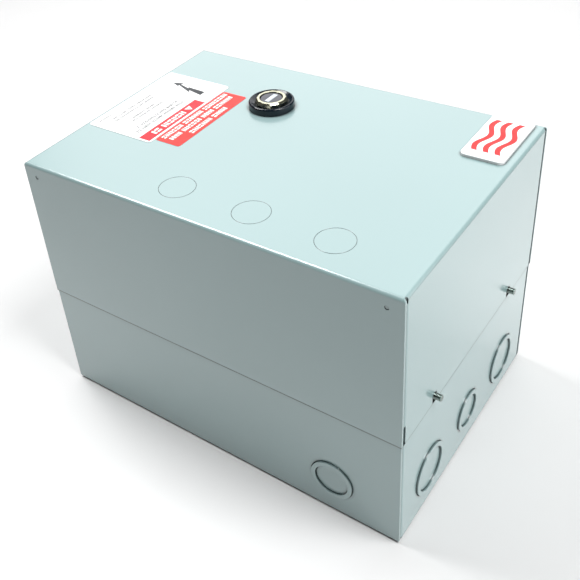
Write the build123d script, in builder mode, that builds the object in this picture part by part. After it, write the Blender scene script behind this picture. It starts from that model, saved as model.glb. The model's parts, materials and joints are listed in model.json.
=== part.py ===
"""Magnetic motor starter in a sheet-steel enclosure, one solid for each piece.

Frame: origin at the centre of the back face, +X to the right seen from the front,
+Y up the wall, +Z out of the wall. Millimetres.
"""
from build123d import *
import os

os.makedirs("parts", exist_ok=True)

# ---- Enclosure -----------------------------------------------------------------
WIDTH = 182.0            # outside of the cover
HEIGHT = 260.0
DEPTH = 185.5
SHEET = 1.5
SEAM_Z = 83.6            # lower edge of the cover's skirt
BASE_TOP = 95.0          # the base's walls rise inside the skirt
FIT_GAP = 0.3            # between the skirt and the base's walls
BEND_R = 2.2             # outside radius where the walls leave the large face
FLANGE_R = 2.5           # outside radius where an end wall turns in behind a side wall
FLANGE = 15.0            # length of those turned-in flanges
BASE_W = WIDTH - 1.0     # the skirt stands out a little from the base's lower walls
BASE_H = HEIGHT - 1.0
SHOULDER_Z = SEAM_Z - 0.5    # the base's walls step in here
LIP_W = WIDTH - 2 * (SHEET + FIT_GAP)
LIP_H = HEIGHT - 2 * (SHEET + FIT_GAP)
COVER_FLANGE_Z = 97.0    # the cover's flanges stop above the base's walls
WELD_Z = 177.0
WELD_INSET = 9.6

CONDUIT_Z = 27.8
END_CONDUIT_X = 53.0
SIDE_CONDUIT_Y = 85.5
SMALL_KNOCKOUT = (28.6, 22.2)    # outer and inner diameters
LARGE_KNOCKOUT = (34.9, 28.6)
RAISE = 1.2
SHEAR = 0.4
PILOT_D = 22.2
PILOT_X = 67.0
PILOT_Y = (-26.0, 26.0, 78.5)
PILOT_SCORE = 0.18       # depth of the line scored round each of them

STUD_X = 52.0
STUD_Z = 88.0
STUD_D = 4.2
PROUD = 4.4              # studs and screw heads stand this far beyond the cover
NOTCH_W = 5.0

MOUNT_HOLE_D = 7.1
MOUNT_X = 70.0
MOUNT_Y = 112.0

# ---- Devices -------------------------------------------------------------------
PLATE_Z = (8.0, 10.0)
DEVICE_X = -14.0         # centre line of the contactor and the overload relay
DEVICE_W = 86.0
POLES = (-24.0, 0.0, 24.0)
PLATE_SCREWS = ((-50.0, 109.5), (22.0, 109.5), (-50.0, -101.5), (22.0, -101.5))
CONTACT_Y = 53.0         # centre of the contacts and the magnet
CONTACTOR_Y = (2.0, 104.0)
RELAY_Y = (-96.0, -6.0)
STROKE = 4.5             # armature travel

# ---- Reset operator --------------------------------------------------------------
RESET_X = -39.0
RESET_Y = -32.5
RESET_TRAVEL = 5.0
RELAY_BUTTON_TOP = 92.0

LEFT = DEVICE_X - DEVICE_W / 2
RIGHT = DEVICE_X + DEVICE_W / 2


def block(x, y, z, mode=Mode.ADD):
    """Box between three (low, high) pairs."""
    centre = tuple((low + high) / 2 for low, high in (x, y, z))
    with Locations(centre):
        Box(x[1] - x[0], y[1] - y[0], z[1] - z[0], mode=mode)


def post(x, y, z, diameter, mode=Mode.ADD):
    """Round bar along Z between the heights of the pair z."""
    with Locations((x, y, (z[0] + z[1]) / 2)):
        Cylinder(diameter / 2, z[1] - z[0], mode=mode)


def bar_y(x, z, y, diameter, mode=Mode.ADD):
    """Round bar along Y between the places of the pair y."""
    with Locations(Location((x, (y[0] + y[1]) / 2, z), (90, 0, 0))):
        Cylinder(diameter / 2, y[1] - y[0], mode=mode)


def keep(piece, name):
    """Label a finished piece and write it out."""
    piece.part.label = name
    export_step(piece.part, f"parts/{name}.step")


# ================================ enclosure ======================================
def sheet_tray(width, height, low, high, closed_low, flange_low):
    """Five-sided folded tray: side walls run through, end walls turn in behind them."""
    inner_w, inner_h = width - 2 * SHEET, height - 2 * SHEET
    with BuildPart() as form:
        with Locations((0, 0, (low + high) / 2)):
            Box(width, height, high - low)
        edges = form.edges().group_by(Axis.Z)[0 if closed_low else -1]
        fillet(edges, BEND_R)
    with BuildPart() as hollow:
        inner_low = low + SHEET if closed_low else low
        inner_high = high if closed_low else high - SHEET
        with Locations((0, 0, (inner_low + inner_high) / 2)):
            Box(inner_w, inner_h, inner_high - inner_low)
        edges = hollow.edges().group_by(Axis.Z)[0 if closed_low else -1]
        fillet(edges, BEND_R - SHEET)
    open_low = low + BEND_R if closed_low else low
    open_high = high if closed_low else high - BEND_R
    with BuildSketch(Plane.XY.offset(open_low)) as corners:
        x = inner_w / 2 - FLANGE_R / 2
        y = height / 2 - FLANGE_R / 2
        with GridLocations(2 * x, 2 * y, 2, 2):
            Rectangle(FLANGE_R, FLANGE_R)
    flange_from = max(flange_low, low + SHEET if closed_low else low)
    with BuildSketch(Plane.XY.offset(flange_from)) as flanges:
        RectangleRounded(inner_w, height, FLANGE_R)
        RectangleRounded(inner_w - 2 * SHEET, inner_h, FLANGE_R - SHEET, mode=Mode.SUBTRACT)
        Rectangle(width, height - 2 * FLANGE, mode=Mode.SUBTRACT)
    with BuildPart() as tray:
        add(form.part)
        add(hollow.part, mode=Mode.SUBTRACT)
        extrude(corners.sketch, amount=open_high - open_low, mode=Mode.SUBTRACT)
        extrude(flanges.sketch, amount=inner_high - flange_from)
    return tray.part


def wall_plane(wall, along, width, height):
    """Plane on the outside of a wall, its normal outward and its Y axis along +Z."""
    frames = {
        "+Y": ((along, height / 2, CONDUIT_Z), (0, 1, 0), (-1, 0, 0)),
        "-Y": ((along, -height / 2, CONDUIT_Z), (0, -1, 0), (1, 0, 0)),
        "+X": ((width / 2, along, CONDUIT_Z), (1, 0, 0), (0, 1, 0)),
        "-X": ((-width / 2, along, CONDUIT_Z), (-1, 0, 0), (0, -1, 0)),
    }
    origin, normal, across = frames[wall]
    return Plane(origin=origin, x_dir=across, z_dir=normal)


def knockout(plane, diameters, turn):
    """Concentric knockout: a ring sheared out of the wall, with a flush disc inside."""
    outer_r, inner_r = diameters[0] / 2, diameters[1] / 2
    with BuildSketch(plane.offset(-2 * SHEET)) as hole:
        Circle(outer_r)
    with BuildSketch(plane.offset(RAISE - SHEET)) as ring:
        Circle(outer_r - SHEAR)
        Circle(inner_r, mode=Mode.SUBTRACT)
    with BuildSketch(plane.offset(-SHEET)) as disc:
        Circle(inner_r - SHEAR)
    with BuildSketch(plane.offset(RAISE - SHEET)) as outer_ties:
        with PolarLocations(outer_r - SHEAR, 2, start_angle=turn):
            Rectangle(3.0, 3.5)
    with BuildSketch(plane.offset(RAISE - SHEET)) as inner_ties:
        with PolarLocations(inner_r - SHEAR, 2, start_angle=turn + 60):
            Rectangle(3.0, 3.5)
    tie = SHEET - RAISE
    extrude(hole.sketch, amount=4 * SHEET, mode=Mode.SUBTRACT)
    extrude(ring.sketch, amount=SHEET)
    extrude(disc.sketch, amount=SHEET)
    extrude(outer_ties.sketch, amount=tie)
    extrude(inner_ties.sketch, amount=tie)


def base_lip():
    """Shoulder and the set-in walls above it, over which the cover's skirt fits."""
    low = SHOULDER_Z - SHEET
    with BuildSketch(Plane.XY.offset(low)) as shoulder:
        RectangleRounded(BASE_W, BASE_H, FLANGE_R)
        Rectangle(LIP_W - 2 * SHEET, LIP_H - 2 * SHEET, mode=Mode.SUBTRACT)
    with BuildSketch(Plane.XY.offset(low)) as lip:
        RectangleRounded(LIP_W, LIP_H, FLANGE_R)
        Rectangle(LIP_W - 2 * SHEET, LIP_H - 2 * SHEET, mode=Mode.SUBTRACT)
    with BuildPart() as walls:
        extrude(shoulder.sketch, amount=SHEET)
        extrude(lip.sketch, amount=BASE_TOP - low)
    return walls.part


def build_base():
    tray = sheet_tray(BASE_W, BASE_H, 0, SHOULDER_Z, True, 0)
    with BuildPart() as base:
        add(tray)
        add(base_lip())
        for wall in ("+Y", "-Y"):
            knockout(wall_plane(wall, -END_CONDUIT_X, BASE_W, BASE_H), LARGE_KNOCKOUT, 65)
            knockout(wall_plane(wall, 0, BASE_W, BASE_H), SMALL_KNOCKOUT, 215)
            knockout(wall_plane(wall, END_CONDUIT_X, BASE_W, BASE_H), LARGE_KNOCKOUT, 65)
        for wall in ("+X", "-X"):
            knockout(wall_plane(wall, SIDE_CONDUIT_Y, BASE_W, BASE_H), SMALL_KNOCKOUT, 75)
        for x, y in PLATE_SCREWS:
            post(x, y, (0.5, PLATE_Z[0]), 15)
            post(x, y, (-1, PLATE_Z[0] - SHEET), 11, Mode.SUBTRACT)
            post(x, y, (0, PLATE_Z[0] + 1), 4.4, Mode.SUBTRACT)
        for x in (-MOUNT_X, MOUNT_X):
            for y in (-MOUNT_Y, MOUNT_Y):
                post(x, y, (-1, 5), MOUNT_HOLE_D, Mode.SUBTRACT)
        for x in (-STUD_X, STUD_X):
            bar_y(x, STUD_Z, (-HEIGHT / 2, HEIGHT / 2), STUD_D + 0.2, Mode.SUBTRACT)
    keep(base, "enclosure_base")


def build_hanging_stud(side, x):
    """Clinch stud pressed through the base's top wall from inside."""
    inner = LIP_H / 2 - SHEET
    with BuildPart() as stud:
        bar_y(x, STUD_Z, (inner - 2, inner), 8)
        bar_y(x, STUD_Z, (inner - 2, HEIGHT / 2 + PROUD), STUD_D)
        chamfer(stud.faces().sort_by(Axis.Y)[-1].edges(), 0.4)
    keep(stud, f"hanging_stud_{side}")


def build_cover_screw(side, x):
    """Slotted hexagon-head screw that clamps the cover's lower end."""
    face = -HEIGHT / 2 - 0.4
    tip = -LIP_H / 2 + 8
    with BuildPart() as screw:
        bar_y(x, STUD_Z, (face - 1, tip), STUD_D)
        with BuildSketch(Plane((x, face, STUD_Z), x_dir=(1, 0, 0), z_dir=(0, -1, 0))):
            RegularPolygon(4.4, 6)
        extrude(amount=PROUD - 0.4)
        chamfer(screw.faces().sort_by(Axis.Y)[0].edges(), 0.5)
        block((x - 5, x + 5), (face - 5, face - 2.6), (STUD_Z - 0.6, STUD_Z + 0.6), Mode.SUBTRACT)
    keep(screw, f"cover_screw_{side}")


def build_clip_nut(side, x):
    inner = -LIP_H / 2 + SHEET
    with BuildPart() as nut:
        block((x - 6, x + 6), (inner, inner + 2.4), (STUD_Z - 6, STUD_Z + 6))
        fillet(nut.edges().filter_by(Axis.Y), 1.5)
        bar_y(x, STUD_Z, (inner + 2.4, inner + 5), 7.5)
        bar_y(x, STUD_Z, (inner - 1, inner + 9), STUD_D + 0.1, Mode.SUBTRACT)
    keep(nut, f"clip_nut_{side}")


def build_cover():
    tray = sheet_tray(WIDTH, HEIGHT, SEAM_Z, DEPTH, False, COVER_FLANGE_Z)
    notch_top = STUD_Z
    with BuildPart() as cover:
        add(tray)
        for x in (-STUD_X, STUD_X):
            bar_y(x, notch_top, (-HEIGHT, HEIGHT), NOTCH_W, Mode.SUBTRACT)
            block((x - NOTCH_W / 2, x + NOTCH_W / 2), (-HEIGHT, HEIGHT),
                  (SEAM_Z - 1, notch_top), Mode.SUBTRACT)
        with BuildSketch(Plane.XY.offset(DEPTH - PILOT_SCORE)):
            with Locations(*[(PILOT_X, y) for y in PILOT_Y]):
                Circle(PILOT_D / 2)
                Circle(PILOT_D / 2 - 0.3, mode=Mode.SUBTRACT)
        extrude(amount=1, mode=Mode.SUBTRACT)
        post(RESET_X, RESET_Y, (DEPTH - 5, DEPTH + 1), 18.6, Mode.SUBTRACT)
        for x in (-1, 1):
            for y in (-1, 1):
                weld = (x * WIDTH / 2, y * (HEIGHT / 2 - WELD_INSET), WELD_Z)
                with Locations(Location(weld, (0, 90, 0))):
                    Cylinder(1.3, 0.7, mode=Mode.SUBTRACT)
                corner_x = x * (WIDTH / 2 - SHEET - 0.8)
                corner_y = y * (HEIGHT / 2 - 0.5)
                post(corner_x, corner_y, (DEPTH - 4, DEPTH + 1), 1.9, Mode.SUBTRACT)
    keep(cover, "enclosure_cover")


def build_mounting_plate():
    x, y = (LEFT - 5, RIGHT + 5), (-108.0, 116.0)
    with BuildPart() as plate:
        block(x, y, PLATE_Z)
        fillet(plate.edges().filter_by(Axis.Z), 4)
        for sx, sy in PLATE_SCREWS:
            post(sx, sy, (5, 12), 4.6, Mode.SUBTRACT)
    keep(plate, "mounting_plate")


def build_plate_screws():
    """Pan-head screws that hold the mounting plate to the base's raised pads."""
    with BuildPart() as screws:
        for x, y in PLATE_SCREWS:
            post(x, y, (4, PLATE_Z[1] + 1), 4.2)
            post(x, y, (PLATE_Z[1], PLATE_Z[1] + 2.6), 8)
            block((x - 4.5, x + 4.5), (y - 0.6, y + 0.6), (PLATE_Z[1] + 1.4, 14), Mode.SUBTRACT)
    keep(screws, "plate_screws")


GROUND = (58.0, -60.0)


def build_ground_lug():
    x, y = GROUND
    with BuildPart() as lug:
        block((x - 5, x + 5), (y - 9, y + 9), (SHEET, SHEET + 2))
        block((x - 5, x + 5), (y + 1, y + 9), (SHEET, SHEET + 9))
        fillet(lug.edges().filter_by(Axis.Z), 1)
        with Locations(Location((x, y + 5, SHEET + 5.5), (0, 90, 0))):
            Cylinder(2.6, 20, mode=Mode.SUBTRACT)
        post(x, y - 5, (0, 6), 4.6, Mode.SUBTRACT)
    keep(lug, "ground_lug")


def build_ground_screw():
    x, y = GROUND[0], GROUND[1] - 5
    top = SHEET + 2
    with BuildPart() as screw:
        post(x, y, (SHEET, top + 1), 4.2)
        with BuildSketch(Plane.XY.offset(top)):
            with Locations((x, y)):
                RegularPolygon(4.0, 6)
        extrude(amount=3)
        block((x - 5, x + 5), (y - 0.6, y + 0.6), (top + 1.8, top + 4), Mode.SUBTRACT)
    keep(screw, "ground_screw")


# ================================ cover fittings ==================================
COLLAR_TOP = DEPTH + 4.9
COLLAR_DISH = 1.7        # the collar's front slopes in to the bezel by this
COLLAR_RIM_R = 13.7
COLLAR_SEAT_R = 10.8
BEZEL_TOP = DEPTH + 6.4
BARREL_LOW = 172.0


def build_reset_collar():
    with BuildPart() as collar:
        post(RESET_X, RESET_Y, (DEPTH, COLLAR_TOP), 30)
        fillet(collar.edges().group_by(Axis.Z)[-1], 1.2)
        with Locations((RESET_X, RESET_Y, COLLAR_TOP - COLLAR_DISH / 2)):
            Cone(COLLAR_SEAT_R, COLLAR_RIM_R, COLLAR_DISH, mode=Mode.SUBTRACT)
        post(RESET_X, RESET_Y, (DEPTH + 2, COLLAR_TOP + 1), 2 * COLLAR_SEAT_R, Mode.SUBTRACT)
        post(RESET_X, RESET_Y, (DEPTH - 1, DEPTH + 3), 18.6, Mode.SUBTRACT)
    keep(collar, "reset_collar")


def build_reset_bezel():
    """Faceted ring nut with the threaded barrel that passes through the cover."""
    with BuildPart() as bezel:
        with BuildSketch(Plane.XY.offset(DEPTH + 2)):
            with Locations((RESET_X, RESET_Y)):
                RegularPolygon(10.4, 12)
        extrude(amount=BEZEL_TOP - DEPTH - 2)
        chamfer(bezel.edges().group_by(Axis.Z)[-1], 0.9)
        post(RESET_X, RESET_Y, (BARREL_LOW, DEPTH + 3), 18)
        post(RESET_X, RESET_Y, (BARREL_LOW + SHEET, BEZEL_TOP + 1), 15.4, Mode.SUBTRACT)
        post(RESET_X, RESET_Y, (BARREL_LOW - 1, BARREL_LOW + 3), 7, Mode.SUBTRACT)
    keep(bezel, "reset_bezel")


def build_reset_lock_nut():
    with BuildPart() as nut:
        with BuildSketch(Plane.XY.offset(DEPTH - SHEET - 4)):
            with Locations((RESET_X, RESET_Y)):
                RegularPolygon(13.4, 6)
                Circle(9.1, mode=Mode.SUBTRACT)
        extrude(amount=4)
    keep(nut, "reset_lock_nut")


def build_reset_button():
    """Push disc on a long rod that reaches down to the overload relay's button."""
    with BuildPart() as button:
        post(RESET_X, RESET_Y, (DEPTH + 2.4, BEZEL_TOP - 0.6), 14.6)
        chamfer(button.edges().group_by(Axis.Z)[-1], 0.4)
        post(RESET_X, RESET_Y, (RELAY_BUTTON_TOP + 1, DEPTH + 3), 6)
        post(RESET_X, RESET_Y, (BARREL_LOW - 1.6, BARREL_LOW - 0.4), 10)
        post(RESET_X, RESET_Y, (RELAY_BUTTON_TOP + 1, RELAY_BUTTON_TOP + 4), 8)
    keep(button, "reset_button")


def spring_tube(x, y, z, diameter, wire):
    """Envelope of a compression spring."""
    post(x, y, z, diameter)
    post(x, y, (z[0] - 1, z[1] + 1), diameter - 2 * wire, Mode.SUBTRACT)


def build_reset_spring():
    with BuildPart() as spring:
        spring_tube(RESET_X, RESET_Y, (BARREL_LOW + SHEET, DEPTH + 2.4), 11, 1.0)
    keep(spring, "reset_spring")


def rounded_plate(name, x, y, z, radius):
    with BuildPart() as plate:
        with BuildSketch(Plane.XY.offset(z[0])):
            with Locations(((x[0] + x[1]) / 2, (y[0] + y[1]) / 2)):
                RectangleRounded(x[1] - x[0], y[1] - y[0], radius)
        extrude(amount=z[1] - z[0])
    keep(plate, name)


def build_labels():
    film = 0.2
    rounded_plate("danger_label", (-48.7, 36), (-127, -74), (DEPTH, DEPTH + film), 2.5)
    rounded_plate("warning_label", (-41, 31), (-73.3, -54.3), (DEPTH, DEPTH + film), 1.5)
    rounded_plate("badge_plate", (-89.7, -37.4), (98, 124), (DEPTH, DEPTH + 1.6), 3.5)
    inside = DEPTH - SHEET
    rounded_plate("wiring_diagram", (-60, 50), (10, 95), (inside - film, inside), 1.0)


# ================================ contactor ======================================
BASE_RIM = 52.0          # top of the moulded base
STRAP_Z = (66.0, 68.4)   # fixed contact straps
LINK_Z = (68.4, 69.9)
HOUSING_TOP = 92.0
CORE_W, CORE_D = 54.0, 22.0
LEG_W, YOKE_H = 9.0, 9.0
CORE_Z = (13.2, 40.0)
ARMATURE_Z = (CORE_Z[1] + STROKE + 0.1, 65.0)
RETURN_X = 34.0
BRIDGE_Z = (76.0, 78.0)
BUTTON_REACH = 14.0      # contact buttons either side of the centre line


def build_contactor_base():
    with BuildPart() as base:
        block((LEFT, RIGHT), CONTACTOR_Y, (PLATE_Z[1], BASE_RIM))
        fillet(base.edges().filter_by(Axis.Z), 2)
        block((DEVICE_X - 30, DEVICE_X + 30), (16, 90), (13, BASE_RIM + 1), Mode.SUBTRACT)
    keep(base, "contactor_base")


def magnet_profile(low, high, yoke_low):
    """E shape in the XZ plane: a yoke and three legs."""
    with BuildSketch(Plane.XZ.offset(-CONTACT_Y - CORE_D / 2)) as shape:
        with Locations((DEVICE_X, (low + high) / 2)):
            Rectangle(CORE_W, high - low)
        window_z = (low, high - YOKE_H) if not yoke_low else (low + YOKE_H, high)
        middle = (window_z[0] + window_z[1]) / 2
        side = (CORE_W / 2 - LEG_W + 8) / 2
        with Locations((DEVICE_X - side, middle), (DEVICE_X + side, middle)):
            Rectangle(CORE_W / 2 - LEG_W - 8, window_z[1] - window_z[0], mode=Mode.SUBTRACT)
    return shape.sketch


def build_magnet():
    with BuildPart() as core:
        extrude(magnet_profile(CORE_Z[0], CORE_Z[1], True), amount=CORE_D)
        for side in (-1, 1):
            x = DEVICE_X + side * (CORE_W / 2 - LEG_W / 2)
            block((x - 2.8, x + 2.8), (CONTACT_Y - 8, CONTACT_Y + 8), (39.2, 41), Mode.SUBTRACT)
            block((x - 2.2, x + 2.2), (CONTACT_Y - 7, CONTACT_Y + 7), (39, 39.8))
    keep(core, "magnet_core")
    with BuildPart() as armature:
        extrude(magnet_profile(ARMATURE_Z[0], ARMATURE_Z[1], False), amount=CORE_D)
    keep(armature, "magnet_armature")


def build_coil():
    y = CONTACT_Y
    with BuildPart() as bobbin:
        block((DEVICE_X - 17.4, DEVICE_X + 17.4), (y - 22, y + 22), (23, 24.6))
        block((DEVICE_X - 17.4, DEVICE_X + 17.4), (y - 22, y + 22), (48.9, 50.5))
        block((DEVICE_X - 10, DEVICE_X + 10), (y - 13.2, y + 13.2), (23, 50.5))
        block((DEVICE_X - 8.6, DEVICE_X + 8.6), (y - 11.8, y + 11.8), (20, 52), Mode.SUBTRACT)
    keep(bobbin, "coil_bobbin")
    with BuildPart() as winding:
        block((DEVICE_X - 16.8, DEVICE_X + 16.8), (y - 20, y + 20), (24.6, 48.9))
        fillet(winding.edges().filter_by(Axis.Z), 4)
        block((DEVICE_X - 10, DEVICE_X + 10), (y - 13.2, y + 13.2), (20, 52), Mode.SUBTRACT)
    keep(winding, "coil_winding")


def build_contactor_housing():
    """Open moulding with a central shaft for the carrier and walls between the poles."""
    wall = 2.0
    y0, y1 = CONTACTOR_Y
    with BuildPart() as housing:
        block((LEFT, RIGHT), CONTACTOR_Y, (BASE_RIM, HOUSING_TOP))
        fillet(housing.edges().filter_by(Axis.Z), 2)
        edges = [LEFT + wall] + [DEVICE_X + x for x in (-12, 12)] + [RIGHT - wall]
        for index in range(3):
            low = edges[index] + (wall / 2 if index else 0)
            high = edges[index + 1] - (wall / 2 if index < 2 else 0)
            block((low, high), (y0 - 1, y1 + 1), (STRAP_Z[0], HOUSING_TOP + 1), Mode.SUBTRACT)
        block((LEFT + wall, RIGHT - wall), (CONTACT_Y - 12, CONTACT_Y + 12),
              (BASE_RIM - 1, HOUSING_TOP + 1), Mode.SUBTRACT)
        for pole in POLES:
            for y in (12, 94):
                post(DEVICE_X + pole, y, (56, 67), 5.2, Mode.SUBTRACT)
    keep(housing, "contactor_housing")


def build_arc_cover():
    y = (20.0, 86.0)
    with BuildPart() as cover:
        block((LEFT, RIGHT), y, (HOUSING_TOP, 108))
        fillet(cover.edges().filter_by(Axis.Z), 2)
        chamfer(cover.edges().group_by(Axis.Z)[-1], 1)
        block((LEFT + 2, RIGHT - 2), (y[0] + 2, y[1] - 2), (HOUSING_TOP - 1, 106), Mode.SUBTRACT)
        block((DEVICE_X - 5, DEVICE_X + 5), (CONTACT_Y - 4, CONTACT_Y + 4), (100, 110), Mode.SUBTRACT)
        for row in range(-2, 3):
            for side in (-1, 1):
                x = DEVICE_X + side * 24
                at = CONTACT_Y + row * 9
                block((x - 11, x + 11), (at - 1.5, at + 1.5), (107, 109), Mode.SUBTRACT)
    keep(cover, "arc_cover")


def build_terminal(name, pole, side, screw_y):
    """Copper strap with a silver contact button at its inner end."""
    x = DEVICE_X + pole
    inner = CONTACT_Y + side * 10
    outer = screw_y + side * 6
    with BuildPart() as strap:
        block((x - 5.5, x + 5.5), (min(inner, outer), max(inner, outer)), STRAP_Z)
        post(x, CONTACT_Y + side * BUTTON_REACH, (STRAP_Z[1] - 0.2, STRAP_Z[1] + 1.4), 6)
        post(x, screw_y, (60, 70), 5.2, Mode.SUBTRACT)
    keep(strap, name)


def build_bridge_contact(number, pole):
    x = DEVICE_X + pole
    buttons = (STRAP_Z[1] + 1.4 + STROKE + 0.1, BRIDGE_Z[0] + 0.2)
    with BuildPart() as bridge:
        block((x - 4, x + 4), (CONTACT_Y - 17, CONTACT_Y + 17), BRIDGE_Z)
        for side in (-1, 1):
            post(x, CONTACT_Y + side * BUTTON_REACH, buttons, 6)
    keep(bridge, f"bridge_contact_{number}")


def build_contact_carrier():
    """Cross bar on the armature, with a sprung window for each bridge contact."""
    y = CONTACT_Y
    with BuildPart() as carrier:
        block((DEVICE_X - 38, DEVICE_X + 38), (y - 7, y + 7), (ARMATURE_Z[1], 74))
        for pole in POLES:
            x = DEVICE_X + pole
            block((x - 6.5, x + 6.5), (y - 6, y + 6), (74, 98))
            block((x - 4.4, x + 4.4), (y - 8, y + 8), (BRIDGE_Z[0], 95), Mode.SUBTRACT)
        for pole in (-12, 12):
            block((DEVICE_X + pole - 1.4, DEVICE_X + pole + 1.4), (y - 8, y + 8),
                  (ARMATURE_Z[1] + 6, 74.5), Mode.SUBTRACT)
        block((DEVICE_X - 4, DEVICE_X + 4), (y - 3, y + 3), (97, 110.5))
    keep(carrier, "contact_carrier")


def build_contactor_springs():
    with BuildPart() as contact_springs:
        for pole in POLES:
            spring_tube(DEVICE_X + pole, CONTACT_Y, (BRIDGE_Z[1], 95), 7, 0.8)
    keep(contact_springs, "contact_springs")
    for side, x in (("left", -RETURN_X), ("right", RETURN_X)):
        with BuildPart() as return_spring:
            spring_tube(DEVICE_X + x, CONTACT_Y, (BASE_RIM, ARMATURE_Z[1]), 6.6, 0.8)
        keep(return_spring, f"return_spring_{side}")


def terminal_screw(x, y, seat):
    """Slotted screw with a square saddle washer."""
    block((x - 5, x + 5), (y - 5, y + 5), (seat, seat + 1.2))
    post(x, y, (58, seat + 2), 5)
    post(x, y, (seat + 1.2, seat + 4.4), 8.4)
    block((x - 5, x + 5), (y - 0.7, y + 0.7), (seat + 2.8, seat + 5), Mode.SUBTRACT)


def build_terminal_screws():
    with BuildPart() as screws:
        for pole in POLES:
            terminal_screw(DEVICE_X + pole, 94, STRAP_Z[1])
            terminal_screw(DEVICE_X + pole, 12, LINK_Z[1])
    keep(screws, "terminal_screws")


# ================================ overload relay ==================================
RELAY_RIM = 52.0
RELAY_TOP = 86.0
MOTOR_Z = (40.0, 41.5)
MOTOR_SCREW_Y = -88.0
BAR_Y = (-31.0, -27.0)
BAR_Z = (44.0, 49.0)
LEVER_PIN = (14.0, -46.0)
LEVER_Z = (56.0, 59.0)
DIAL = (-6.0, -40.0)
CONTACTS_X = 20.0


def build_relay_housing():
    """Moulding with one heater channel for each pole."""
    y0, y1 = RELAY_Y
    with BuildPart() as housing:
        block((LEFT, RIGHT), RELAY_Y, (PLATE_Z[1], RELAY_RIM))
        fillet(housing.edges().filter_by(Axis.Z), 2)
        for pole in POLES:
            x = DEVICE_X + pole
            block((x - 10, x + 10), (-74, y1 - 6), (16, RELAY_RIM + 1), Mode.SUBTRACT)
            block((x - 6, x + 6), (y1 - 8, y1 + 1), (MOTOR_Z[0], RELAY_RIM + 1), Mode.SUBTRACT)
            block((x - 8, x + 8), (y0 - 1, -70), (MOTOR_Z[0], RELAY_RIM + 1), Mode.SUBTRACT)
            post(x, MOTOR_SCREW_Y, (28, 42), 5.2, Mode.SUBTRACT)
        block((-54, 26), (BAR_Y[0] - 1.5, BAR_Y[1] + 1.5), (BAR_Z[0] - 1.5, RELAY_RIM + 1),
              Mode.SUBTRACT)
    keep(housing, "relay_housing")


def build_relay_cover():
    """Cap over the trip mechanism, with the dial recess and the reset guide."""
    y = (-78.0, -6.0)
    with BuildPart() as cover:
        block((LEFT, RIGHT), y, (RELAY_RIM, RELAY_TOP))
        fillet(cover.edges().filter_by(Axis.Z), 2)
        chamfer(cover.edges().group_by(Axis.Z)[-1], 1)
        block((LEFT + 2, RIGHT - 2), (y[0] + 2, y[1] - 2), (RELAY_RIM - 1, RELAY_TOP - 2),
              Mode.SUBTRACT)
        block((LEFT + 1, -28), (-46, -19), (61, 63))
        block((6, RIGHT - 1), (-58, -38), (52.5, 54.5))
        post(LEVER_PIN[0], LEVER_PIN[1], (54, 61), 3)
        post(RESET_X, RESET_Y, (60, 64), 5.4, Mode.SUBTRACT)
        post(RESET_X, RESET_Y, (80, 90), 10, Mode.SUBTRACT)
        post(DIAL[0], DIAL[1], (RELAY_TOP - 2.5, RELAY_TOP), 18)
        post(DIAL[0], DIAL[1], (RELAY_TOP - 1.5, RELAY_TOP + 1), 15, Mode.SUBTRACT)
        post(DIAL[0], DIAL[1], (80, RELAY_TOP), 6.4, Mode.SUBTRACT)
    keep(cover, "relay_cover")


def build_current_dial():
    x, y = DIAL
    seat = RELAY_TOP - 1.2
    with BuildPart() as dial:
        post(x, y, (seat, RELAY_TOP + 1.2), 14)
        chamfer(dial.edges().group_by(Axis.Z)[-1], 0.5)
        post(x, y, (77, seat + 0.5), 6)
        post(x, y, (77, 79), 9)
        block((x - 4.5, x + 4.5), (y - 0.8, y + 0.8), (RELAY_TOP, RELAY_TOP + 2), Mode.SUBTRACT)
    keep(dial, "current_dial")


def build_link_strap(number, pole):
    """Strap from a load terminal down into the overload relay."""
    x = DEVICE_X + pole
    y1 = RELAY_Y[1]
    with BuildPart() as strap:
        block((x - 5, x + 5), (-2.75, 18), LINK_Z)
        block((x - 5, x + 5), (-2.75, -1.25), (MOTOR_Z[0], LINK_Z[1]))
        block((x - 5, x + 5), (y1 - 20, -1.25), MOTOR_Z)
        fillet(strap.edges().filter_by(Axis.X).group_by(Axis.Z)[-1].sort_by(Axis.Y)[0], 1.3)
        post(x, 12, (60, 72), 5.2, Mode.SUBTRACT)
    keep(strap, f"link_strap_{number}")


def build_heater(number, pole):
    """Heater ribbon folded beside the bimetal, ending in the motor terminal."""
    x = DEVICE_X + pole
    low, high = 22.0, MOTOR_Z[0]
    pitch, folds, start = 6.0, 7, -24.0
    with BuildPart() as heater:
        for fold in range(folds):
            y = start - fold * pitch
            top = high if fold % 2 == 0 else low + 1.5
            block((x - 5, x - 0.5), (y - 1.5, y), (low, high))
            if fold < folds - 1:
                block((x - 5, x - 0.5), (y - pitch - 1.5, y), (top - 1.5, top))
        end = start - (folds - 1) * pitch
        block((x - 5, x + 5), (MOTOR_SCREW_Y - 6, end), MOTOR_Z)
        post(x, MOTOR_SCREW_Y, (30, 50), 5.2, Mode.SUBTRACT)
        post(x, MOTOR_SCREW_Y, (30, MOTOR_Z[0]), 5)
        post(x, MOTOR_SCREW_Y, (MOTOR_Z[1], MOTOR_Z[1] + 3.4), 8.4)
        post(x, MOTOR_SCREW_Y, (MOTOR_Z[0] - 1, MOTOR_Z[1] + 1), 5)
        block((x - 5, x + 5), (MOTOR_SCREW_Y - 0.7, MOTOR_SCREW_Y + 0.7),
              (MOTOR_Z[1] + 1.8, MOTOR_Z[1] + 5), Mode.SUBTRACT)
    keep(heater, f"heater_{number}")


def build_bimetal(number, pole):
    """Bimetal blade, fixed at its lower end, that bends towards the trip bar's finger."""
    x = DEVICE_X + pole + 2.4
    with BuildPart() as blade:
        block((x, x + 1.2), (-74, -27), (26, 36))
    keep(blade, f"bimetal_{number}")


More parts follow.
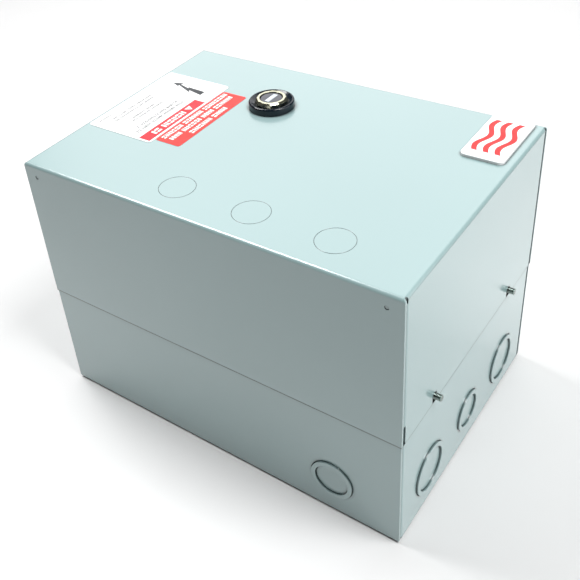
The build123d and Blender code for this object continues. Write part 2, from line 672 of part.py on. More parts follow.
def build_trip_bar():
    """Sliding bar with a finger in each channel and a peg that swings the lever."""
    with BuildPart() as bar:
        block((-49, 17), BAR_Y, BAR_Z)
        for pole in POLES:
            x = DEVICE_X + pole + 4.2
            block((x, x + 2), BAR_Y, (28, BAR_Z[1]))
        block((8, 11), BAR_Y, (BAR_Z[0], LEVER_Z[1] + 1))
    keep(bar, "trip_bar")


def build_trip_lever():
    px, py = LEVER_PIN
    with BuildPart() as lever:
        post(px, py, LEVER_Z, 7.5)
        block((11.6, 14.2), (py, -28), LEVER_Z)
        block((px - 1.3, px + 1.3), (-66, py), LEVER_Z)
        post(px, py, (50, 62), 3.1, Mode.SUBTRACT)
    keep(lever, "trip_lever")


def build_relay_button():
    with BuildPart() as plunger:
        post(RESET_X, RESET_Y, (78, RELAY_BUTTON_TOP), 9.2)
        chamfer(plunger.edges().group_by(Axis.Z)[-1], 0.6)
        post(RESET_X, RESET_Y, (57, 79), 4.6)
    keep(plunger, "relay_button")
    with BuildPart() as spring:
        spring_tube(RESET_X, RESET_Y, (63, 78), 8, 0.8)
    keep(spring, "relay_button_spring")


def build_control_contacts():
    """Normally closed pair that the trip lever opens."""
    with BuildPart() as fixed:
        block((CONTACTS_X + 1.2, CONTACTS_X + 2.2), (-73, -60), (RELAY_RIM, 66))
        block((CONTACTS_X + 1.2, CONTACTS_X + 6), (-73, -60), (65, 66))
    keep(fixed, "control_contact_fixed")
    with BuildPart() as moving:
        block((CONTACTS_X - 2, CONTACTS_X - 1.2), (-73, -62), (RELAY_RIM, 64))
        with Locations(Location((CONTACTS_X, -67, 61), (0, 90, 0))):
            Cylinder(1.8, 2.4)
    keep(moving, "control_contact_blade")


build_base()
build_cover()
for side, x in (("left", -STUD_X), ("right", STUD_X)):
    build_hanging_stud(side, x)
    build_cover_screw(side, x)
    build_clip_nut(side, x)
build_mounting_plate()
build_plate_screws()
build_ground_lug()
build_ground_screw()

build_reset_collar()
build_reset_bezel()
build_reset_lock_nut()
build_reset_button()
build_reset_spring()
build_labels()

build_contactor_base()
build_magnet()
build_coil()
build_contactor_housing()
build_arc_cover()
build_contact_carrier()
build_contactor_springs()
build_terminal_screws()

build_relay_housing()
build_relay_cover()
build_current_dial()
build_trip_bar()
build_trip_lever()
build_relay_button()
build_control_contacts()

for number, pole in enumerate(POLES, start=1):
    build_terminal(f"line_terminal_{number}", pole, 1, 94)
    build_terminal(f"load_terminal_{number}", pole, -1, 12)
    build_bridge_contact(number, pole)
    build_link_strap(number, pole)
    build_heater(number, pole)
    build_bimetal(number, pole)
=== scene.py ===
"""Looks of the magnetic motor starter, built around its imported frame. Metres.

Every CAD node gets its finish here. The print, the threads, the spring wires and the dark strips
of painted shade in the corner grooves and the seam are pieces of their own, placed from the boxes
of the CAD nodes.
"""
import json
import math
import random

import bmesh
import bpy
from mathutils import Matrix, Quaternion, Vector


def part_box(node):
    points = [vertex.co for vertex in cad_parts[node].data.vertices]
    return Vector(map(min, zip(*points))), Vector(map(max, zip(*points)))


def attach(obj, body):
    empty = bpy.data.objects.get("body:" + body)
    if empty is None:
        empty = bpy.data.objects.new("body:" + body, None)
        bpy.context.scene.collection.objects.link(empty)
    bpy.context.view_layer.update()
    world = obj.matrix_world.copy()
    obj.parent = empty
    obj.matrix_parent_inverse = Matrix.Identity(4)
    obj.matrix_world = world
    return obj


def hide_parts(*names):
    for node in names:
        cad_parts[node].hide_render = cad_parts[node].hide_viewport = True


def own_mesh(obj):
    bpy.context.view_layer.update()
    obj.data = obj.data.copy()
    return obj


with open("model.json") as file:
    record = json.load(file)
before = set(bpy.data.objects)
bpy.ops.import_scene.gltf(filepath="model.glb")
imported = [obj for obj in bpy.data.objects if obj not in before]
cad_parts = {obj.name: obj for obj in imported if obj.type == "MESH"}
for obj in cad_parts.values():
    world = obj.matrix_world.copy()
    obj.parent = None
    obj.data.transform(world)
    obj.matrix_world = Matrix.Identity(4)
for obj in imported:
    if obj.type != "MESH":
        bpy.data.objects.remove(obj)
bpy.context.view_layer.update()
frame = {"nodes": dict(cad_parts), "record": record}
MM = 0.001
INK = 0.00003                   # thickness of printed ink
SHEET = 1.5 * MM                # steel of the base and the cover
SHOULDER = 0.5 * MM             # the slit under the skirt, and how far the base is set in from it


# ================================ mesh helpers ====================================
def add_piece(name, builder, material, body, replaced=()):
    """Link a finished bmesh as a piece that rides on a body."""
    bmesh.ops.recalc_face_normals(builder, faces=builder.faces)
    mesh = bpy.data.meshes.new(name)
    builder.to_mesh(mesh)
    builder.free()
    piece = bpy.data.objects.new(name, mesh)
    bpy.context.scene.collection.objects.link(piece)
    mesh.materials.append(material)
    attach(piece, body)
    if replaced:
        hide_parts(*replaced)
    return piece


def smooth(piece, angle):
    """Shade smooth, with edges sharper than the angle kept."""
    for polygon in piece.data.polygons:
        polygon.use_smooth = True
    builder = bmesh.new()
    builder.from_mesh(piece.data)
    for edge in builder.edges:
        if len(edge.link_faces) == 2:
            edge.smooth = edge.calc_face_angle(0) < math.radians(angle)
    builder.to_mesh(piece.data)
    builder.free()


def box_outline(x, y):
    """Rectangle between the pairs x and y, anticlockwise."""
    return [(x[0], y[0]), (x[1], y[0]), (x[1], y[1]), (x[0], y[1])]


def rounded_outline(x, y, radius, steps=5):
    """Corner-rounded rectangle between the pairs x and y, anticlockwise."""
    corners = ((x[1], y[1], 0), (x[0], y[1], 90), (x[0], y[0], 180), (x[1], y[0], 270))
    outline = []
    for corner_x, corner_y, start in corners:
        centre_x = corner_x - math.copysign(radius, corner_x - sum(x) / 2)
        centre_y = corner_y - math.copysign(radius, corner_y - sum(y) / 2)
        for step in range(steps + 1):
            angle = math.radians(start + 90 * step / steps)
            spot = (centre_x + radius * math.cos(angle), centre_y + radius * math.sin(angle))
            outline.append(spot)
    return outline


def add_prism(builder, outline, low, high):
    """Closed prism over a flat outline."""
    bottom = [builder.verts.new((x, y, low)) for x, y in outline]
    top = [builder.verts.new((x, y, high)) for x, y in outline]
    builder.faces.new(list(reversed(bottom)))
    builder.faces.new(top)
    join_loops(builder, bottom, top)


def join_loops(builder, one, two):
    """Faces between two closed loops of as many vertices."""
    count = len(one)
    for index in range(count):
        follow = (index + 1) % count
        builder.faces.new((one[index], one[follow], two[follow], two[index]))


def skin(builder, loops):
    """Closed surface through a row of loops, with a flat face at each end."""
    for one, two in zip(loops, loops[1:]):
        join_loops(builder, one, two)
    builder.faces.new(loops[0])
    builder.faces.new(loops[-1])


def printed(name, outlines, base_z, material, body, thickness=INK):
    """Ink shapes lying on a surface."""
    builder = bmesh.new()
    for outline in outlines:
        add_prism(builder, outline, base_z, base_z + thickness)
    return add_piece(name, builder, material, body)


# ================================ materials =======================================
NOISE_SPAN = (0.3, 0.7)                     # most of a noise's values lie between these
GLOSS_SCALE = 3.1                           # the gloss drifts this much finer than the colour
LEAST_ROUGH = 0.02
COAT_ROUGH = 0.12
RELIEF_DEPTH = 0.2 * MM
RELIEF_DETAIL = 3
EDGE_SAMPLES = 4
EDGE_TURN = (0.99, 0.80)                    # agreement of rounded and flat normals: unworn, worn
# Painted shade: ambient occlusion darkens the colour in crevices and under laps, where shade falls.
CREVICE_SHADE_SAMPLES = 6
CREVICE_SHADE_OPENNESS = (0.50, 0.92)               # a crevice's openness: darkest painted shade, unshaded
CREVICE_SHADE_LEAST = 0.10                          # share of the colour that the darkest crevice keeps
CREVICE_SHADE_COLOUR = (0.006, 0.012, 0.012, 1)


def scaled(colour, share):
    """The colour times a share, no brighter than white, with its alpha."""
    return (*[min(1, channel * share) for channel in colour], 1)


def add_noise(tree, vector, scale, detail):
    node = tree.nodes.new("ShaderNodeTexNoise")
    node.inputs["Scale"].default_value = scale
    node.inputs["Detail"].default_value = detail
    tree.links.new(vector, node.inputs["Vector"])
    return node.outputs["Fac"]


def add_spread(tree, value, source, target=(0, 1)):
    """Stretch a value from the source range to the target range."""
    node = tree.nodes.new("ShaderNodeMapRange")
    node.inputs["From Min"].default_value = source[0]
    node.inputs["From Max"].default_value = source[1]
    node.inputs["To Min"].default_value = target[0]
    node.inputs["To Max"].default_value = target[1]
    tree.links.new(value, node.inputs["Value"])
    return node.outputs["Result"]


def add_mix(tree, factor, first, second):
    """Blend two colours, each given as a tuple or as a node's output."""
    node = tree.nodes.new("ShaderNodeMix")
    node.data_type = "RGBA"
    tree.links.new(factor, node.inputs["Factor"])
    for socket, colour in (("A", first), ("B", second)):
        if isinstance(colour, tuple):
            node.inputs[socket].default_value = colour
        else:
            tree.links.new(colour, node.inputs[socket])
    return node.outputs["Result"]


def add_edge_wear(tree, tone, bump, radius, rubbed):
    """Round sharp edges in the shading, and turn the tone to the rubbed colour on them."""
    bevel = tree.nodes.new("ShaderNodeBevel")
    bevel.samples = EDGE_SAMPLES
    bevel.inputs["Radius"].default_value = radius
    tree.links.new(bevel.outputs["Normal"], bump.inputs["Normal"])
    flat = tree.nodes.new("ShaderNodeNewGeometry")
    agreement = tree.nodes.new("ShaderNodeVectorMath")
    agreement.operation = "DOT_PRODUCT"
    tree.links.new(bevel.outputs["Normal"], agreement.inputs[0])
    tree.links.new(flat.outputs["Normal"], agreement.inputs[1])
    worn = add_spread(tree, agreement.outputs["Value"], EDGE_TURN)
    return add_mix(tree, worn, tone, rubbed)


def add_painted_crevice_shade(tree, tone, reach):
    """Paint shade into the tone in crevices, as far from them as reach."""
    near = tree.nodes.new("ShaderNodeAmbientOcclusion")
    near.samples = CREVICE_SHADE_SAMPLES
    near.inputs["Distance"].default_value = reach
    unshaded = add_spread(tree, near.outputs["AO"], CREVICE_SHADE_OPENNESS, (CREVICE_SHADE_LEAST, 1))
    return add_mix(tree, unshaded, CREVICE_SHADE_COLOUR, tone)


def surface(name, colour, rough, metal=0.0, vary=0.04, blotch=20.0, grain=1800.0, relief=0.12,
            rough_vary=0.08, stretch=(1, 1, 1), coat=0.0, edge=0.0, edge_tint=1.25, crevice_shade=0.0,
            detail=5):
    """Principled material with broad colour drift, uneven gloss and a fine relief.

    blotch and grain are the scales of the drift and of the relief. edge is the radius over which
    sharp edges are rounded in the shading and worn to edge_tint times the colour. crevice_shade
    is how far from a crevice the colour is darkened with painted shade.
    """
    material = bpy.data.materials.new(name)
    material.use_nodes = True
    tree = material.node_tree
    shader = tree.nodes["Principled BSDF"]
    shader.inputs["Metallic"].default_value = metal
    shader.inputs["Coat Weight"].default_value = coat
    shader.inputs["Coat Roughness"].default_value = COAT_ROUGH
    place = tree.nodes.new("ShaderNodeTexCoord")
    mapping = tree.nodes.new("ShaderNodeMapping")
    mapping.inputs["Scale"].default_value = stretch
    tree.links.new(place.outputs["Object"], mapping.inputs["Vector"])
    vector = mapping.outputs["Vector"]

    drift = add_spread(tree, add_noise(tree, vector, blotch, detail), NOISE_SPAN)
    tone = add_mix(tree, drift, scaled(colour, 1 - vary), scaled(colour, 1 + vary))
    gloss = add_noise(tree, vector, blotch * GLOSS_SCALE, detail)
    rough_span = (max(LEAST_ROUGH, rough - rough_vary), rough + rough_vary)
    tree.links.new(add_spread(tree, gloss, NOISE_SPAN, rough_span), shader.inputs["Roughness"])
    bump = tree.nodes.new("ShaderNodeBump")
    bump.inputs["Strength"].default_value = relief
    bump.inputs["Distance"].default_value = RELIEF_DEPTH
    tree.links.new(add_noise(tree, vector, grain, RELIEF_DETAIL), bump.inputs["Height"])
    if edge:
        tone = add_edge_wear(tree, tone, bump, edge, scaled(colour, edge_tint))
    # Painted shade: the tone darkens in crevices.
    if crevice_shade:
        tone = add_painted_crevice_shade(tree, tone, crevice_shade)
    tree.links.new(bump.outputs["Normal"], shader.inputs["Normal"])
    tree.links.new(tone, shader.inputs["Base Color"])
    return material


# The enamel gets painted shade in its crevices and under the cover's lap.
PAINT = surface("grey_enamel", (0.272, 0.388, 0.391), 0.235, vary=0.02, blotch=7, grain=260,
                relief=0.012, rough_vary=0.025, coat=0.6, edge=0.0005, edge_tint=1.15,
                crevice_shade=0.0022, detail=1)
PAINT.node_tree.nodes["Principled BSDF"].inputs["IOR"].default_value = 1.75
ZINC = surface("zinc", (0.72, 0.71, 0.67), 0.37, metal=1, vary=0.08, blotch=260, edge=0.0002)
# The studs' zinc, darker and greener than ZINC: the darkening paints in the dark reflections of their
# surroundings.
STUD_ZINC_SHADED = surface("zinc_with_painted_reflection", (0.26, 0.31, 0.29), 0.19, metal=1, vary=0.15, blotch=400)
GALVANISED = surface("galvanised", (0.62, 0.64, 0.65), 0.38, metal=1, vary=0.16, blotch=120,
                     edge=0.0003)
WIRE_STEEL = surface("spring_wire", (0.55, 0.55, 0.56), 0.36, metal=1, vary=0.08, blotch=300)
BLACK = surface("black_phenolic", (0.018, 0.018, 0.020), 0.42, vary=0.2, blotch=60, grain=3200,
                relief=0.18, edge=0.0005, edge_tint=2.2)
DARK = surface("dark_thermoplastic", (0.045, 0.047, 0.052), 0.38, vary=0.1, blotch=50, grain=2600,
               relief=0.2, edge=0.0005, edge_tint=1.8)
GREY = surface("grey_thermoplastic", (0.42, 0.43, 0.42), 0.42, blotch=50, grain=2600, relief=0.2,
               edge=0.0005, edge_tint=1.15)
CREAM = surface("cream_nylon", (0.66, 0.60, 0.44), 0.40, blotch=70, grain=2600, relief=0.15,
                edge=0.0004, edge_tint=1.1)
LAMINATED = surface("laminations", (0.30, 0.30, 0.31), 0.40, metal=1, vary=0.25, blotch=900,
                    stretch=(0.05, 2.4, 0.05), relief=0.4, grain=700)
WINDING = surface("winding_tape", (0.40, 0.16, 0.05), 0.45, vary=0.3, blotch=700,
                  stretch=(0.05, 0.05, 1.6), relief=0.7, grain=500)
COPPER = surface("copper", (0.80, 0.42, 0.25), 0.37, metal=1, vary=0.12, blotch=180, edge=0.0003,
                 stretch=(2, 0.4, 1))
CONTACT = surface("contact_alloy", (0.78, 0.60, 0.38), 0.36, metal=1, vary=0.1, blotch=200,
                  edge=0.0003)
HEATER = surface("heater_alloy", (0.42, 0.36, 0.31), 0.42, metal=1, vary=0.22, blotch=240,
                 edge=0.0002)
STRIP = surface("bimetal", (0.60, 0.58, 0.50), 0.37, metal=1, vary=0.08, blotch=90)
CHROME = surface("warm_chrome", (0.70, 0.69, 0.52), 0.13, metal=1, vary=0.05, blotch=200,
                 rough_vary=0.03, relief=0.02, edge=0.0002)
BUTTON = surface("dark_button", (0.060, 0.064, 0.080), 0.14, vary=0.1, blotch=200, relief=0.03,
                 rough_vary=0.04, edge=0.0002)
COLLAR = surface("collar_black", (0.0015, 0.006, 0.012), 0.20, vary=0.2, blotch=150, grain=2400,
                 relief=0.08, edge=0.0004, edge_tint=2.0)
FILM = surface("label_film", (0.86, 0.865, 0.865), 0.37, vary=0.01, blotch=60, relief=0.03)
RED_FILM = surface("red_film", (0.80, 0.016, 0.010), 0.36, vary=0.03, blotch=60, relief=0.03)
RED_INK = surface("red_ink", (0.74, 0.004, 0.016), 0.38, vary=0.03, blotch=80, relief=0.02)
RED_MARK = surface("red_mark", (0.84, 0.010, 0.012), 0.37, vary=0.03, blotch=80, relief=0.02)
WHITE_INK = surface("white_ink", (0.92, 0.92, 0.92), 0.4, vary=0.01, relief=0.02)
PALE_BAR = surface("pale_bar", (0.55, 0.60, 0.66), 0.37, vary=0.2, blotch=300, relief=0.02)
# Dark colour of the strips that paint shade into the corner grooves and the seam.
SHADE_STRIP_DARK = surface("painted_shade_dark", (0.020, 0.034, 0.034), 0.6, vary=0.2, relief=0.1)
GREY_INK = surface("grey_ink", (0.070, 0.078, 0.080), 0.5, vary=0.1, relief=0.02)
BLACK_INK = surface("black_ink", (0.020, 0.024, 0.030), 0.4, vary=0.1, relief=0.02)
BADGE = surface("badge_white", (0.90, 0.90, 0.90), 0.19, vary=0.01, blotch=60, relief=0.02,
                coat=0.4)
BLUE = surface("blue_button", (0.02, 0.09, 0.40), 0.37, relief=0.08, edge=0.0004)
DIAL = surface("white_dial", (0.80, 0.80, 0.77), 0.37, relief=0.08, edge=0.0003)

# The finish of each material slot of the CAD nodes.
NODE_FINISH = {
    "painted_steel": PAINT, "zinc_steel": ZINC, "galvanised_plate": GALVANISED,
    "spring_steel": WIRE_STEEL, "black_moulding": BLACK, "dark_cover_moulding": DARK,
    "grey_moulding": GREY, "cream_moulding": CREAM, "laminated_steel": LAMINATED,
    "coil_wire": WINDING, "copper_strap": COPPER, "bridge_alloy": CONTACT,
    "heater_alloy": HEATER, "bimetal_strip": STRIP, "chrome_bezel": CHROME,
    "dark_button": BUTTON, "white_label": FILM, "red_label": RED_FILM, "white_badge": BADGE,
    "blue_button": BLUE, "white_dial": DIAL,
}
for entry in frame["record"]["subparts"]:
    mesh = frame["nodes"][entry["node"]].data
    mesh.materials.clear()
    mesh.materials.append(NODE_FINISH[entry["material_slot"]])
frame["nodes"]["reset_collar"].data.materials[0] = COLLAR


# ================================ printed marks ===================================
# These tables give marks in millimetres across from a label's left edge and down from its top.
BLOCK_WIDTHS = (0.55, 0.85)                 # least and most, as shares of the print's height
SOLID_SHARE = 0.6                           # a solid block keeps this share of its width
BAR_SHARE = 0.36                            # a bar's share of its block's width or height
BLOCK_GAP = 0.22                            # both gaps are shares of the print's height
WORD_GAP = 0.5
PRINT_ROWS = (                              # start, end, depth of the row's middle, height
    (31.5, 79, 16, 2.3), (33.5, 75, 20, 2.3), (38.5, 68.5, 28.5, 1.8), (43.5, 65.5, 31.5, 1.8),
    (35.5, 74, 39, 1.8), (34, 73.5, 42.5, 1.8), (68.5, 81, 48, 1.5),
)
FLASH = (
    (14, 11), (19, 11), (16.5, 22.5), (19, 21), (13.5, 34), (15, 34), (12.5, 40.5),
    (9.5, 32.5), (12, 33.5), (14.5, 25), (13, 26),
)
WARNING_ROWS = ((2.5, 69.5, 17.4), (4, 69.5, 11.9), (18, 55.5, 5.9))    # start, end, depth of foot


def glyph_blocks(rng, x, y, height):
    """One block of generic print: a solid bar, two stacked bars or two upright bars."""
    width = height * rng.uniform(*BLOCK_WIDTHS)
    kind = rng.choice(("solid", "stacked", "upright", "upright"))
    bar_high, bar_wide = height * BAR_SHARE, width * BAR_SHARE
    if kind == "solid":
        width *= SOLID_SHARE
        shapes = [box_outline((x, x + width), (y, y + height))]
    elif kind == "stacked":
        shapes = [box_outline((x, x + width), (y, y + bar_high)),
                  box_outline((x, x + width), (y + height - bar_high, y + height))]
    else:
        shapes = [box_outline((x, x + bar_wide), (y, y + height)),
                  box_outline((x + width - bar_wide, x + width), (y, y + height))]
    return shapes, width


def print_row(rng, x, y, height, word=(3, 8)):
    """Row of generic blocks in word-like groups, filling the pair x."""
    shapes = []
    at = x[0]
    while at < x[1] - height:
        for _ in range(rng.randint(*word)):
            blocks, width = glyph_blocks(rng, at, y, height)
            if at + width > x[1]:
                break
            shapes += blocks
            at += width + height * BLOCK_GAP
        at += height * WORD_GAP
    return shapes


def hazard_band(rng, low, high):
    """Red band along the label's upper edge, with a marked triangle and blocks on it."""
    band_left, band_foot, margin = 26 * MM, 10.2 * MM, (1.6 * MM, 1.4 * MM)
    band = box_outline((low.x + band_left, high.x - margin[0]), (high.y - band_foot, high.y - margin[1]))
    printed("label_band", [band], high.z, RED_INK, "cover")
    over = high.z + INK
    left, foot = low.x + 34.6 * MM, high.y - 7.9 * MM
    wide, tall, centre = 5.6 * MM, 4.8 * MM, left + 2.8 * MM
    triangle = [(left, foot), (left + wide, foot), (centre, foot + tall)]
    blocks_x = (low.x + 43 * MM, high.x - 8.6 * MM)
    blocks = print_row(rng, blocks_x, foot, 4.4 * MM, (6, 6))
    printed("label_band_print", [triangle] + blocks, over, WHITE_INK, "cover")
    stroke = (centre - 0.3 * MM, centre + 0.3 * MM)
    mark = [box_outline(stroke, (foot + 1.5 * MM, foot + 3.4 * MM)),
            box_outline(stroke, (foot + 0.6 * MM, foot + 1.1 * MM))]
    printed("label_triangle_mark", mark, over + INK, RED_INK, "cover")


def hazard_label():
    """White label: red band with a triangle and blocks, a flash symbol, and rows of print."""
    rng = random.Random(11)
    low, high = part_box("danger_label")
    hazard_band(rng, low, high)
    flash = [(low.x + across * MM, high.y - down * MM) for across, down in FLASH]
    printed("label_flash", [flash], high.z, BLACK_INK, "cover")
    shapes = []
    for start, end, down, height in PRINT_ROWS:
        span = (low.x + start * MM, low.x + end * MM)
        shapes += print_row(rng, span, high.y - (down + height / 2) * MM, height * MM, (3, 9))
    printed("label_print", shapes, high.z, GREY_INK, "cover")


def red_warning_label():
    """Three rows of white blocks on the red label."""
    rng = random.Random(5)
    low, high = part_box("warning_label")
    height = 3.5 * MM
    shapes = []
    for start, end, down in WARNING_ROWS:
        span = (low.x + start * MM, low.x + end * MM)
        shapes += print_row(rng, span, high.y - down * MM, height, (4, 10))
    printed("warning_print", shapes, high.z, WHITE_INK, "cover")


def badge_marks():
    """Generic red motif: three thick waves, one above another."""
    low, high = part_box("badge_plate")
    middle_x, middle_y = (low.x + high.x) / 2, (low.y + high.y) / 2
    reach, swing, half_thick, spacing = 19 * MM, 1.9 * MM, 1.7 * MM, 7 * MM
    steps = 48
    shapes = []
    for row in (-1, 0, 1):
        upper, lower = [], []
        for step in range(steps + 1):
            along = step / steps * 2 - 1
            wave = swing * math.sin(along * 1.5 * math.pi + math.pi / 2)
            x, y = middle_x + along * reach, middle_y + row * spacing + wave
            upper.append((x, y + half_thick))
            lower.append((x, y - half_thick))
        shapes.append(lower + upper[::-1])
    printed("badge_motif", shapes, high.z, RED_MARK, "cover")


def diagram_print():
    """Plain circuit lines and rows of print on the sheet inside the cover, which faces the back."""
    low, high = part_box("wiring_diagram")
    first_line, line_pitch, line_wide = 14 * MM, 9 * MM, 0.6 * MM
    symbol_tall, symbol_out = 2.2 * MM, 2 * MM
    shapes = []
    for column in range(3):
        x = low.x + first_line + column * line_pitch
        shapes.append(box_outline((x, x + line_wide), (low.y + 10 * MM, high.y - 8 * MM)))
        for level in (24, 40, 58):
            y = low.y + level * MM
            symbol_x = (x - symbol_out, x + line_wide + symbol_out)
            shapes.append(box_outline(symbol_x, (y, y + symbol_tall)))
    rng = random.Random(3)
    rows, first_row, row_pitch, height = 14, 10 * MM, 4.4 * MM, 1.5 * MM
    for row in range(rows):
        y = high.y - first_row - row * row_pitch
        shapes += print_row(rng, (low.x + 46 * MM, high.x - 6 * MM), y, height, (3, 8))
    printed("diagram_print", shapes, low.z - INK, GREY_INK, "cover")


def dial_scale(x, y, base_z):
    """Ticks round the setting dial, every third one long."""
    inner, outer, short_by, half_wide = 8.4 * MM, 10.4 * MM, 0.8 * MM, 0.22 * MM
    first, step_angle, count = -30, 20, 13
    ticks = []
    for step in range(count):
        angle = math.radians(first + step_angle * step)
        along = Vector((math.cos(angle), math.sin(angle)))
        across = Vector((-along.y, along.x)) * half_wide
        reach = outer if step % 3 == 0 else outer - short_by
        ends = (along * inner - across, along * reach - across, along * reach + across,
                along * inner + across)
        ticks.append([(x + end.x, y + end.y) for end in ends])
    printed("dial_scale", ticks, base_z, BLACK_INK, "base")


def rating_label(left, bottom, base_z):
    """Small white label with four rows of print."""
    rng = random.Random(21)
    wide, tall, margin, height, film = 28 * MM, 14 * MM, 2 * MM, 1.3 * MM, 4 * INK
    row_pitch = 2.9 * MM
    plate = rounded_outline((left, left + wide), (bottom, bottom + tall), 1 * MM)
    printed("relay_label", [plate], base_z, FILM, "base", film)
    rows = []
    for row in range(4):
        rise = bottom + margin + row * row_pitch
        rows += print_row(rng, (left + margin, left + wide - margin), rise, height, (3, 7))
    printed("relay_label_print", rows, base_z + film, GREY_INK, "base")


def relay_marks():
    """Scale round the setting dial, a pointer on it, and a small rating label."""
    cover_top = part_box("relay_cover")[1].z
    low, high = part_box("current_dial")
    x, y = (low.x + high.x) / 2, (low.y + high.y) / 2
    dial_scale(x, y, cover_top)
    foot, tip, half_wide = y + 2.2 * MM, y + 6.0 * MM, 0.5 * MM
    pointer = [(x - half_wide, foot), (x + half_wide, foot), (x, tip)]
    printed("dial_pointer", [pointer], high.z, BLACK_INK, "current_dial")
    rating_label(x + 2 * MM, y + 14 * MM, cover_top)


def reset_marks():
    """White bar across the dark disc of the reset operator."""
    low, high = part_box("reset_button")
    x, y = (low.x + high.x) / 2, (low.y + high.y) / 2
    half_long, half_wide, corner, thickness = 5.4 * MM, 1.6 * MM, 0.4 * MM, 0.00012
    bar = rounded_outline((x - half_long, x + half_long), (y - half_wide, y + half_wide), corner)
    printed("reset_bar", [bar], high.z, PALE_BAR, "reset_operator", thickness)


relay_marks()
hazard_label()
red_warning_label()
badge_marks()
diagram_print()
reset_marks()


# ================================ threads and springs ==============================
THREAD_PITCH = 0.79 * MM
CREST_R = 2.1 * MM
ROOT_R = 1.78 * MM
END_TURN = 0.8                  # part of a turn that lies flat at each end of a spring
END_RISE = 1.8                  # height of a closed end, in radii of the wire


def turned(builder, place, profile, steps=32):
    """Closed turned shape along Y: profile is (position, radius), place the axis's x and z."""
    loops = []
    for position, radius in profile:
        loop = []
        for step in range(steps):
            angle = 2 * math.pi * step / steps
            across, rise = radius * math.cos(angle), radius * math.sin(angle)
            loop.append(builder.verts.new((place[0] + across, position, place[1] + rise)))
        loops.append(loop)
    skin(builder, loops)


def threaded_stud(side):
    """Clinch stud with rolled thread crests, inside its plain CAD cylinder."""
    node = f"hanging_stud_{side}"
    low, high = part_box(node)
    place = ((low.x + high.x) / 2, (low.z + high.z) / 2)
    head_r, head_thick, head_break, point_r = (high.x - low.x) / 2, 2 * MM, 0.3 * MM, 1.65 * MM
    crest_flat, plain, point = 0.12 * MM, 2.4 * MM, 0.35 * MM
    seat = low.y + head_thick
    profile = [(low.y, head_r - head_break), (low.y + head_break, head_r), (seat, head_r),
               (seat + 0.01 * MM, CREST_R)]
    at = seat + plain
    while at + THREAD_PITCH < high.y - head_break:
        profile += [(at, CREST_R), (at + crest_flat, CREST_R), (at + THREAD_PITCH / 2, ROOT_R)]
        at += THREAD_PITCH
    profile += [(at, CREST_R), (high.y - point, CREST_R), (high.y, point_r)]
    builder = bmesh.new()
    turned(builder, place, profile)
    smooth(add_piece(f"thread_{side}", builder, STUD_ZINC_SHADED, "base", (node,)), 50)


def wire_spring(name, centre, span, outer_r, wire_r, turns, body, replaced=()):
    """Round-wire compression spring with closed ends between two heights."""
    steps, sides = int(turns * 20), 10
    mean_r = outer_r - wire_r
    low, high = span[0] + wire_r, span[1] - wire_r
    end_share, end_rise = END_TURN / turns, END_RISE * wire_r
    free = high - low - 2 * end_rise
    builder = bmesh.new()
    loops = []
    for step in range(steps + 1):
        share = step / steps
        angle = 2 * math.pi * turns * share
        lower_end = min(1, share / end_share)
        coils = min(1, max(0, (share - end_share) / (1 - 2 * end_share)))
        upper_end = max(0, (share - 1 + end_share) / end_share)
        height = low + (lower_end + upper_end) * end_rise + coils * free
        out = Vector((math.cos(angle), math.sin(angle), 0))
        core = Vector((centre[0], centre[1], height)) + out * mean_r
        loop = []
        for side in range(sides):
            turn = 2 * math.pi * side / sides
            offset = out * wire_r * math.cos(turn) + Vector((0, 0, wire_r * math.sin(turn)))
            loop.append(builder.verts.new(core + offset))
        loops.append(loop)
    skin(builder, loops)
    piece = add_piece(name, builder, WIRE_STEEL, body, replaced)
    smooth(piece, 60)
    return piece


def node_spring(node, body, turns, wire):
    """Spring in a CAD envelope, riding on a body, with a mesh of its own."""
    low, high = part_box(node)
    centre = ((low.x + high.x) / 2, (low.y + high.y) / 2)
    piece = wire_spring(f"{node}_wire", centre, (low.z, high.z), (high.x - low.x) / 2, wire / 2,
                        turns, body, (node,))
    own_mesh(piece)


def contact_springs():
    """The three bridge contacts' springs, which share one CAD node."""
    low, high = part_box("contact_springs")
    outer_r, wire_r, turns = 3.5 * MM, 0.4 * MM, 8
    middle, y = (low.x + high.x) / 2, (low.y + high.y) / 2
    reach = (high.x - low.x) / 2 - outer_r
    for index, x in enumerate((middle - reach, middle, middle + reach), start=1):
        replaced = ("contact_springs",) if index == 1 else ()
        wire_spring(f"contact_spring_wire_{index}", (x, y), (low.z, high.z), outer_r, wire_r, turns,
                    "contact_carrier", replaced)


for stud_side in ("left", "right"):
    threaded_stud(stud_side)
    node_spring(f"return_spring_{stud_side}", "base", 6, 0.8 * MM)
node_spring("reset_spring", "cover", 6, 1.0 * MM)
node_spring("relay_button_spring", "base", 7, 0.8 * MM)
contact_springs()


# ================================ painted shade in grooves and seam ================
# Section of a corner shade strip, painted shade set in a groove: millimetres in from the side
# wall's inner face and from the end.
SHADE_STRIP_SECTION = ((0.04, 2.20), (0.04, 0.25), (0.55, 0.55), (0.58, 0.86), (0.30, 1.28), (0.10, 1.75))


def corner_shade_strips():
    """Dark strips of painted shade in the grooves where the end walls turn in behind the side walls."""
    cover_low, cover_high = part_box("enclosure_cover")
    base_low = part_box("enclosure_base")[0]
    flat_clear, skirt_clear = 2.6 * MM, 2.2 * MM
    spans = {"cover": (cover_low.z, cover_high.z - flat_clear, 0),
             "base": (base_low.z + flat_clear, cover_low.z - skirt_clear, SHOULDER)}
    for body, (low, high, set_in) in spans.items():
        edge_x, edge_y = cover_high.x - SHEET - set_in, cover_high.y - set_in
        builder = bmesh.new()
        for side_x in (-1, 1):
            for side_y in (-1, 1):
                outline = [(side_x * (edge_x - x * MM), side_y * (edge_y - y * MM))
                           for x, y in SHADE_STRIP_SECTION]
                add_prism(builder, outline, low, high)
        add_piece(f"corner_shade_strip_{body}", builder, SHADE_STRIP_DARK, body)


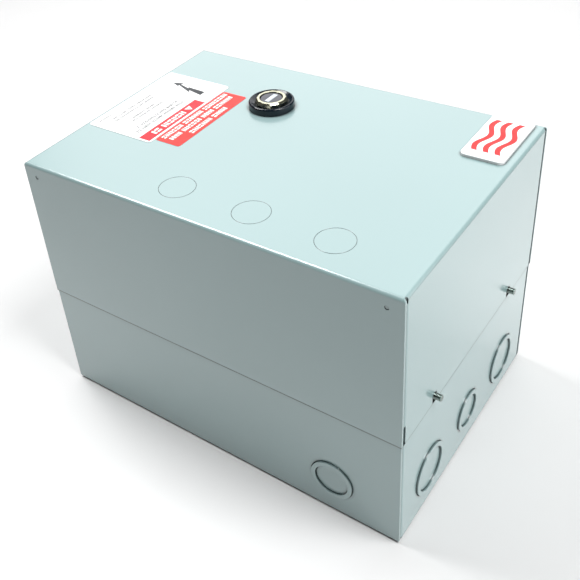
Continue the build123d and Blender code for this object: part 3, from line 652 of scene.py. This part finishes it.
def seam_shade_strip():
    """Dark strip of painted shade that fills the slit between the base's shoulder and the cover's skirt.
    """
    low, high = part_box("enclosure_cover")
    inset, depth, clear = 0.06 * MM, 1.6 * MM, SHOULDER * 0.04
    bottom, top = low.z - SHOULDER + clear, low.z - clear
    outer_x, outer_y = high.x - inset, high.y - inset
    inner_x, inner_y = outer_x - depth, outer_y - depth
    builder = bmesh.new()
    for sign in (-1, 1):
        side_x = sorted((sign * outer_x, sign * inner_x))
        add_prism(builder, box_outline(side_x, (-outer_y, outer_y)), bottom, top)
        end_y = sorted((sign * outer_y, sign * inner_y))
        add_prism(builder, box_outline((-inner_x, inner_x), end_y), bottom, top)
    add_piece("seam_shade_strip", builder, SHADE_STRIP_DARK, "base")


corner_shade_strips()
seam_shade_strip()


# ================================ floor, light and camera ==========================
FLOOR_RADIUS = 6
WORLD_STRENGTH = 0.07
SOFTBOXES = (                               # name, place, aim, size, power in watts
    ("key_lower_end", (0.03, -0.72, 1.3), (0.03, -0.05, 0), (0.6, 0.6), 17),
    ("key_upper_end", (0.03, 0.72, 1.3), (0.03, 0.05, 0), (0.6, 0.6), 17),
    ("back_wall", (-1.7, -0.8, 1.25), (-0.6, -0.4, 0), (2.4, 1.9), 22),
    ("side_right", (-0.3, 1.3, 0.4), (0, 0, 0.1), (1.4, 0.8), 7),
)
CAMERA_PLACE = Vector((0.3690, 0.2660, 0.4516))
CAMERA_AIM = Vector((-0.0366, -0.0726, 0.0927))
CAMERA_ROLL = math.radians(-6.37)
CAMERA_SENSOR = 36                          # the sensor and the lens in mm, the shift in frames
CAMERA_LENS = 53.84
CAMERA_SHIFT = (0.0975, -0.1419)


def stage_floor():
    """Plain pale floor, wide enough to fill the picture from every side."""
    bpy.ops.mesh.primitive_circle_add(
        vertices=96, radius=FLOOR_RADIUS, fill_type="NGON", location=(0, 0, 0))
    floor = bpy.context.object
    floor.name = "floor"
    floor.data.materials.append(
        surface("pale_floor", (0.73, 0.73, 0.73), 0.6, vary=0.012, blotch=5, grain=40, relief=0.02))


def set_up(thing, place, aim, roll=0.0):
    """Link a light or a camera at a place, looking at its aim."""
    thing.location = place
    thing.rotation_mode = "QUATERNION"
    facing = (Vector(aim) - Vector(place)).to_track_quat("-Z", "Y")
    thing.rotation_quaternion = facing @ Quaternion((0, 0, 1), roll)
    bpy.context.scene.collection.objects.link(thing)


def area_light(name, place, aim, size, power):
    """Rectangular softbox."""
    data = bpy.data.lights.new(name, "AREA")
    data.shape = "RECTANGLE"
    data.size, data.size_y = size
    data.energy = power
    set_up(bpy.data.objects.new(name, data), place, aim)


def studio():
    """Dim white surroundings, two softboxes overhead, a bright wall behind and a weak side light."""
    world = bpy.data.worlds.new("studio")
    bpy.context.scene.world = world
    world.use_nodes = True
    background = world.node_tree.nodes["Background"]
    background.inputs["Color"].default_value = (1, 1, 1, 1)
    background.inputs["Strength"].default_value = WORLD_STRENGTH
    for softbox in SOFTBOXES:
        area_light(*softbox)


def camera():
    """At the viewing angle of the reference: the framing is a little off the lens axis."""
    data = bpy.data.cameras.new("camera")
    data.sensor_width, data.lens = CAMERA_SENSOR, CAMERA_LENS
    data.shift_x, data.shift_y = CAMERA_SHIFT
    view = bpy.data.objects.new("camera", data)
    set_up(view, CAMERA_PLACE, CAMERA_AIM, CAMERA_ROLL)
    bpy.context.scene.camera = view


stage_floor()
studio()
camera()
bpy.context.scene.view_settings.view_transform = "Standard"
